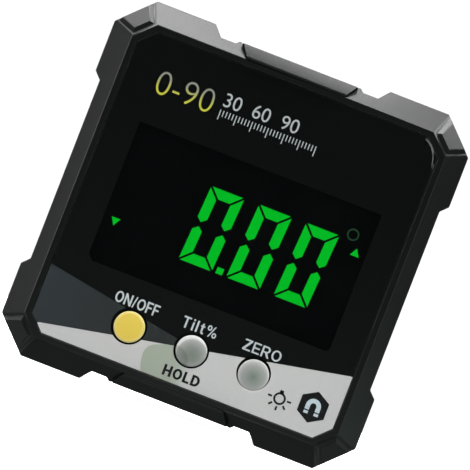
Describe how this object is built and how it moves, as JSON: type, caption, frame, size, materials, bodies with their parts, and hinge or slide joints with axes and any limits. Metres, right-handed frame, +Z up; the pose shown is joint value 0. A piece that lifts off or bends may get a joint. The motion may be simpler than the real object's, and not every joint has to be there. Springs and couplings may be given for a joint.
{
  "type": "digital inclinometer",
  "caption": "Square pocket angle gauge with an upright lit display, push buttons, magnetic plates in base and top, and a battery bay behind a screwed door.",
  "frame": {"origin": "under the middle of the device, in the plane of its four lower bumper faces", "axes": "+Z up, the display faces -Y, +X to the reader's right"},
  "size_m": [0.06, 0.03, 0.06],
  "materials": {
    "black_housing": "fine matt moulded grain",
    "clear_window": "polished clear sheet",
    "printed_film": "screen printed",
    "foam_tape": "die-cut foam",
    "black_rubber": "soft moulded",
    "white_frame": "moulded",
    "display_glass": "dark polariser",
    "light_guide": "frosted acrylic",
    "led_package": "moulded",
    "connector_rubber": "striped elastomer",
    "green_board": "solder mask",
    "chip_black": "moulded epoxy",
    "metal_can": "drawn sheet",
    "yellow_cap": "satin moulded",
    "grey_cap": "satin moulded",
    "pale_cap": "satin moulded",
    "switch_plunger": "moulded",
    "cell_jacket": "printed sleeve over a metal can",
    "contact_spring": "nickel-plated spring strip",
    "grey_plate": "fine matt",
    "nickel_magnet": "nickel plate",
    "zinc_screw": "zinc plate"
  },
  "bodies": {
    "housing": {"backlight_led_1": "led_package", "backlight_led_2": "led_package", "base_magnet_1": "nickel_magnet", "base_magnet_2": "nickel_magnet", "base_magnet_3": "nickel_magnet", "base_plate": "grey_plate", "battery_1": "cell_jacket", "battery_2": "cell_jacket", "board_screw_1": "zinc_screw", "board_screw_2": "zinc_screw", "board_screw_3": "zinc_screw", "board_screw_4": "zinc_screw", "bridge_contact": "contact_spring", "circuit_board": "green_board", "controller_chip": "chip_black", "crystal": "metal_can", "front_housing": "black_housing", "front_window": "clear_window", "graphic_film": "printed_film", "housing_screw_1": "zinc_screw", "housing_screw_2": "zinc_screw", "housing_screw_3": "zinc_screw", "housing_screw_4": "zinc_screw", "housing_seal": "black_rubber", "lcd_connector": "connector_rubber", "lcd_frame": "white_frame", "lcd_glass": "display_glass", "light_guide": "light_guide", "negative_contact": "contact_spring", "positive_contact": "contact_spring", "power_switch": "metal_can", "rear_housing": "black_housing", "tilt_sensor": "chip_black", "top_magnet_1": "nickel_magnet", "top_magnet_2": "nickel_magnet", "top_magnet_3": "nickel_magnet", "top_plate": "grey_plate", "units_switch": "metal_can", "window_tape": "foam_tape", "zero_switch": "metal_can"},
    "power_key": {"power_button": "yellow_cap", "power_plunger": "switch_plunger"},
    "units_key": {"units_button": "grey_cap", "units_plunger": "switch_plunger"},
    "zero_key": {"zero_button": "pale_cap", "zero_plunger": "switch_plunger"},
    "door": {"battery_door": "black_housing", "door_seal": "black_rubber", "door_screw_1": "zinc_screw", "door_screw_2": "zinc_screw"}
  },
  "joints": [
    {"name": "power_press", "type": "slide", "parent": "housing", "child": "power_key", "axis": [0, 1, 0], "range_m": [0, 0.0005], "stiffness_N_per_m": 2500, "springref_m": -0.0002},
    {"name": "units_press", "type": "slide", "parent": "housing", "child": "units_key", "axis": [0, 1, 0], "range_m": [0, 0.0005], "stiffness_N_per_m": 2500, "springref_m": -0.0002},
    {"name": "zero_press", "type": "slide", "parent": "housing", "child": "zero_key", "axis": [0, 1, 0], "range_m": [0, 0.0005], "stiffness_N_per_m": 2500, "springref_m": -0.0002},
    {"name": "door_lift", "type": "slide", "parent": "housing", "child": "door", "axis": [0, 1, 0], "range_m": [0, 0.012]}
  ]
}
